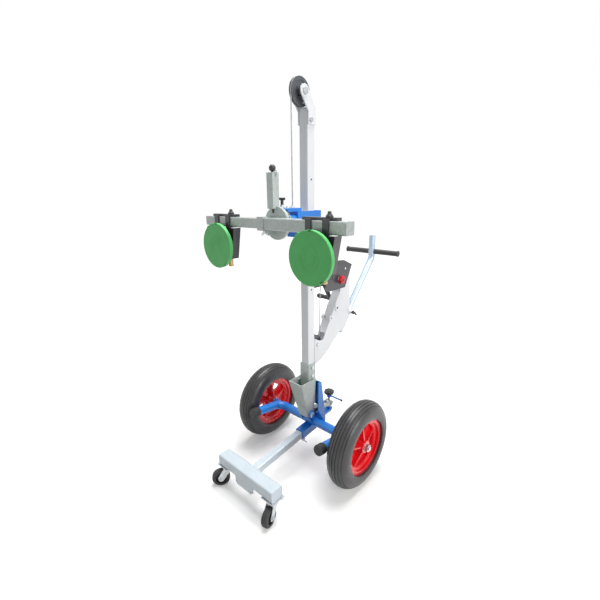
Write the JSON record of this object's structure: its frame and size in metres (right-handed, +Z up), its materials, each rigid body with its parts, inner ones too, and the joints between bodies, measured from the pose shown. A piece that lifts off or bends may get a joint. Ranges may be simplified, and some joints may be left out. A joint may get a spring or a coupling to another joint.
{
  "type": "glass panel lifter",
  "caption": "Wheeled glass panel lifter: tilting mast with hand winch and rope, lifting carriage, turning telescopic crossbar with suction cups, push handle and caster foot.",
  "frame": {"origin": "on the floor, under the middle of the overall width and depth", "axes": "+Z up along the mast, -Y towards the load, +X to the right as seen from the load side"},
  "size_m": [0.761, 1.0188, 1.7035],
  "materials": {
    "blue": "gloss blue powder coat",
    "galvanised": "zinc coated steel, dull",
    "white": "gloss white powder coat",
    "black_steel": "satin black powder coat",
    "black_plastic": "moulded black plastic",
    "red": "gloss red",
    "tyre": "black tyre rubber",
    "rubber": "soft black rubber",
    "green": "green plastic",
    "brass": "turned brass",
    "zinc": "bright zinc plate",
    "rope": "galvanised wire rope",
    "handle": "zinc coated tube with a blue tint",
    "iron": "dark machined steel",
    "nylon": "white nylon",
    "red_plastic": "red plastic"
  },
  "bodies": {
    "base": {"base_frame": "blue", "axle_shaft": "zinc", "base_fasteners": "zinc", "arm_caps": "rubber"},
    "wheel_r": {"rim_r": "red", "tyre_r": "tyre", "bearings_r": "zinc"},
    "wheel_l": {"rim_l": "red", "tyre_l": "tyre", "bearings_l": "zinc"},
    "spindle": {"tilt_spindle": "zinc", "tilt_handwheel": "black_plastic", "spindle_lever": "blue"},
    "nut": {"tilt_nut": "zinc"},
    "foot": {"front_foot": "galvanised", "caster_plates": "zinc"},
    "fork_r": {"caster_fork_r": "zinc"},
    "caster_r": {"caster_wheel_r": "rubber"},
    "fork_l": {"caster_fork_l": "zinc"},
    "caster_l": {"caster_wheel_l": "rubber"},
    "mast": {"foot_bracket": "galvanised", "mast_tube": "white", "head_bracket": "white", "mast_fasteners": "zinc", "rope": "rope", "rope_front": "rope", "winch_bracket": "white", "winch_frame": "black_steel"},
    "head_sheave": {"head_pulley": "iron"},
    "guide_sheave": {"guide_pulley": "iron"},
    "drum": {"winch_drum": "iron"},
    "crank": {"winch_crank": "black_steel", "winch_knob": "red_plastic"},
    "crank_grip": {"crank_grip": "black_plastic"},
    "pawl": {"winch_pawl": "iron"},
    "handle": {"handle_tube": "handle", "handle_grips": "black_plastic"},
    "handle_clamp": {"handle_clamp": "black_plastic"},
    "carriage": {"carriage_body": "blue", "slide_pads": "nylon", "carriage_fittings": "zinc"},
    "plunger": {"index_plunger": "black_plastic"},
    "rotator": {"rotator_disc": "galvanised", "lever_tube": "galvanised", "bar_outer": "galvanised"},
    "latch": {"latch": "black_plastic"},
    "bar_inner": {"bar_inner": "galvanised"},
    "wing_screw": {"wing_screw": "zinc"},
    "holder_r": {"holder_r": "black_steel", "cup_pad_r": "rubber", "cup_cover_r": "green", "pump_body_r": "black_plastic"},
    "clamp_knob_r": {"clamp_knob_r": "black_plastic"},
    "pump_r": {"pump_plunger_r": "brass"},
    "holder_l": {"holder_l": "black_steel", "cup_pad_l": "rubber", "cup_cover_l": "green", "pump_body_l": "black_plastic"},
    "clamp_knob_l": {"clamp_knob_l": "black_plastic"},
    "pump_l": {"pump_plunger_l": "brass"}
  },
  "joints": [
    {"name": "wheel_r_spin", "type": "hinge", "parent": "base", "child": "wheel_r", "pos_m": [0.3045, -0.0327, 0.2], "axis": [1, 0, 0], "continuous": true},
    {"name": "wheel_l_spin", "type": "hinge", "parent": "base", "child": "wheel_l", "pos_m": [-0.2695, -0.0327, 0.2], "axis": [1, 0, 0], "continuous": true},
    {"name": "mast_tilt", "type": "hinge", "parent": "base", "child": "mast", "pos_m": [0.0175, -0.05871, 0.25], "axis": [1, 0, 0], "range_deg": [-2, 6]},
    {"name": "nut_rise", "type": "slide", "parent": "base", "child": "nut", "axis": [0, 0, 1], "range_m": [-0.00672, 0.01957]},
    {"name": "spindle_turn", "type": "hinge", "parent": "base", "child": "spindle", "pos_m": [0.0175, 0.12529, 0.25], "axis": [0, 0, 1], "range_deg": [-1736, 580]},
    {"name": "foot_slide", "type": "slide", "parent": "base", "child": "foot", "axis": [0, -0.9969, -0.0787], "range_m": [0, 0.06]},
    {"name": "caster_r_swivel", "type": "hinge", "parent": "foot", "child": "fork_r", "pos_m": [0.1625, -0.43371, 0.09], "axis": [0, 0, 1], "continuous": true},
    {"name": "caster_r_roll", "type": "hinge", "parent": "fork_r", "child": "caster_r", "pos_m": [0.17182, -0.46848, 0.04], "axis": [0.9659, 0.2588, 0], "continuous": true},
    {"name": "caster_l_swivel", "type": "hinge", "parent": "foot", "child": "fork_l", "pos_m": [-0.1275, -0.43371, 0.09], "axis": [0, 0, 1], "continuous": true},
    {"name": "caster_l_roll", "type": "hinge", "parent": "fork_l", "child": "caster_l", "pos_m": [-0.14966, -0.46207, 0.04], "axis": [0.788, -0.6157, 0], "continuous": true},
    {"name": "lift", "type": "slide", "parent": "mast", "child": "carriage", "axis": [0, 0, 1], "range_m": [-0.46, 0.32], "deforming": ["rope_front"]},
    {"name": "drum_turn", "type": "hinge", "parent": "mast", "child": "drum", "pos_m": [0.0175, 0.0803, 0.908], "axis": [1, 0, 0], "range_deg": [-541, 777]},
    {"name": "crank_turn", "type": "hinge", "parent": "mast", "child": "crank", "pos_m": [0.0175, 0.12793, 0.8928], "axis": [1, 0, 0], "range_deg": [-2456, 1709]},
    {"name": "head_pulley_turn", "type": "hinge", "parent": "mast", "child": "head_sheave", "pos_m": [0.0175, -0.08621, 1.651], "axis": [1, 0, 0], "range_deg": [-380, 545]},
    {"name": "guide_pulley_turn", "type": "hinge", "parent": "mast", "child": "guide_sheave", "pos_m": [0.0175, 0.00129, 0.595], "axis": [1, 0, 0], "range_deg": [-677, 472]},
    {"name": "crank_grip_spin", "type": "hinge", "parent": "crank", "child": "crank_grip", "pos_m": [-0.0445, 0.20393, 0.7648], "axis": [1, 0, 0], "continuous": true},
    {"name": "pawl_lift", "type": "hinge", "parent": "mast", "child": "pawl", "pos_m": [0.0545, 0.16029, 0.942], "axis": [1, 0, 0], "range_deg": [0, 25], "stiffness_Nm_per_rad": 0.05, "springref_deg": -28.65},
    {"name": "handle_slide", "type": "slide", "parent": "mast", "child": "handle", "axis": [0, 0.6561, 0.7547], "range_m": [0, 0.08]},
    {"name": "handle_clamp_turn", "type": "hinge", "parent": "mast", "child": "handle_clamp", "pos_m": [0.0475, 0.27271, 0.68906], "axis": [1, 0, 0], "range_deg": [0, 360]},
    {"name": "index_plunger_pull", "type": "slide", "parent": "carriage", "child": "plunger", "axis": [0, 0, 1], "range_m": [0, 0.012], "stiffness_N_per_m": 400, "springref_m": -0.01},
    {"name": "crossbar_turn", "type": "hinge", "parent": "carriage", "child": "rotator", "pos_m": [0.0175, -0.25671, 1.171], "axis": [0, 1, 0], "continuous": true},
    {"name": "latch_pull", "type": "slide", "parent": "rotator", "child": "latch", "axis": [0, 0, 1], "range_m": [0, 0.008], "stiffness_N_per_m": 400, "springref_m": -0.01},
    {"name": "bar_extend", "type": "slide", "parent": "rotator", "child": "bar_inner", "axis": [-1, 0, 0], "range_m": [-0.08, 0.12]},
    {"name": "wing_screw_turn", "type": "hinge", "parent": "rotator", "child": "wing_screw", "pos_m": [-0.0185, -0.25671, 1.141], "axis": [0, 0, 1], "range_deg": [0, 360]},
    {"name": "holder_r_slide", "type": "slide", "parent": "rotator", "child": "holder_r", "axis": [1, 0, 0], "range_m": [-0.12, 0.035]},
    {"name": "clamp_knob_r_turn", "type": "hinge", "parent": "holder_r", "child": "clamp_knob_r", "pos_m": [0.297, -0.25671, 1.211], "axis": [0, 0, 1], "range_deg": [0, 360]},
    {"name": "pump_r_press", "type": "slide", "parent": "holder_r", "child": "pump_r", "axis": [0, 0, 1], "range_m": [0, 0.022], "stiffness_N_per_m": 400, "springref_m": -0.01},
    {"name": "holder_l_slide", "type": "slide", "parent": "bar_inner", "child": "holder_l", "axis": [1, 0, 0], "range_m": [-0.04, 0.06]},
    {"name": "clamp_knob_l_turn", "type": "hinge", "parent": "holder_l", "child": "clamp_knob_l", "pos_m": [-0.225, -0.25671, 1.211], "axis": [0, 0, 1], "range_deg": [0, 360]},
    {"name": "pump_l_press", "type": "slide", "parent": "holder_l", "child": "pump_l", "axis": [0, 0, 1], "range_m": [0, 0.022], "stiffness_N_per_m": 400, "springref_m": -0.01}
  ],
  "couplings": [
    {"joint": "nut_rise", "follows": "mast_tilt", "m_per_rad": 0.184},
    {"joint": "spindle_turn", "follows": "mast_tilt", "ratio": -289.03},
    {"joint": "drum_turn", "follows": "lift", "rad_per_m": -29.412},
    {"joint": "crank_turn", "follows": "lift", "rad_per_m": 93.137},
    {"joint": "head_pulley_turn", "follows": "lift", "rad_per_m": -20.619},
    {"joint": "guide_pulley_turn", "follows": "lift", "rad_per_m": 25.641}
  ]
}
